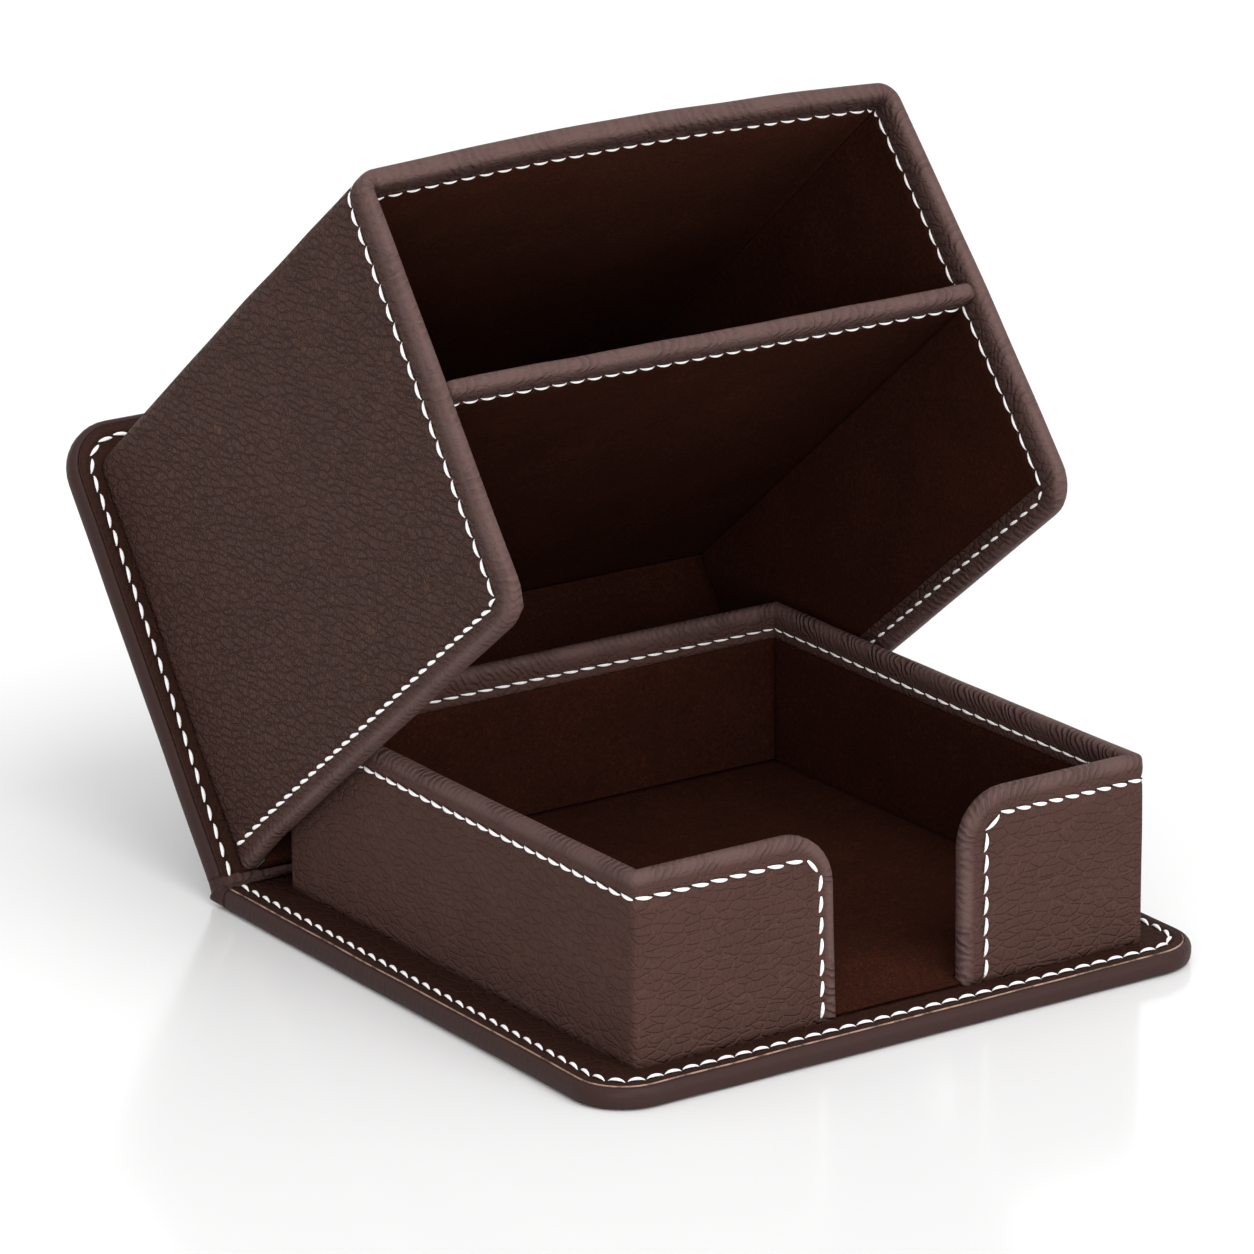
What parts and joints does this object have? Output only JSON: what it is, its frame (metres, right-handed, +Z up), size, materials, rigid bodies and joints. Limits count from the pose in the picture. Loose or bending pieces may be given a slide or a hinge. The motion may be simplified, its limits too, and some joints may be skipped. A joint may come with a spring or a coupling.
{
  "type": "desk organizer",
  "caption": "Leather-covered folding desk organizer: a notched memo tray on a base board, and a hinged lid board with a two-compartment box that closes over it.",
  "frame": {"origin": "centre of the base board's underside, on the desk", "axes": "+X to the right along the hinge, +Y towards the hinge at the back, +Z up; the notched front faces -Y"},
  "size_m": [0.14, 0.2007, 0.1576],
  "materials": {
    "leather": "pebbled satin",
    "suede": "matt suede",
    "board": "matt",
    "thread": "matt"
  },
  "bodies": {
    "base": {"base_board": "board", "base_cover": "leather", "base_top_leather": "leather", "base_thread": "thread", "spine": "leather", "tray_left_board": "board", "tray_right_board": "board", "tray_back_board": "board", "tray_front_left_board": "board", "tray_front_right_board": "board", "tray_cover": "leather", "tray_left_lining": "suede", "tray_right_lining": "suede", "tray_back_lining": "suede", "tray_front_left_lining": "suede", "tray_front_right_lining": "suede", "tray_floor_board": "board", "tray_floor_lining": "suede", "tray_thread": "thread"},
    "lid": {"lid_board": "board", "lid_cover": "leather", "lid_front_leather": "leather", "lid_thread": "thread", "box_left_board": "board", "box_right_board": "board", "box_top_board": "board", "box_back_board": "board", "box_cover": "leather", "box_left_lining": "suede", "box_right_lining": "suede", "box_top_lining": "suede", "box_back_lining": "suede", "box_thread": "thread", "divider_board": "board", "divider_cover": "leather", "divider_upper_lining": "suede", "divider_lower_lining": "suede", "divider_thread": "thread"}
  },
  "joints": [
    {"name": "lid_hinge", "type": "hinge", "parent": "base", "child": "lid", "pos_m": [0, 0.0711, 0.0024], "axis": [-1, 0, 0], "range_deg": [-37.3, 53.7]}
  ]
}
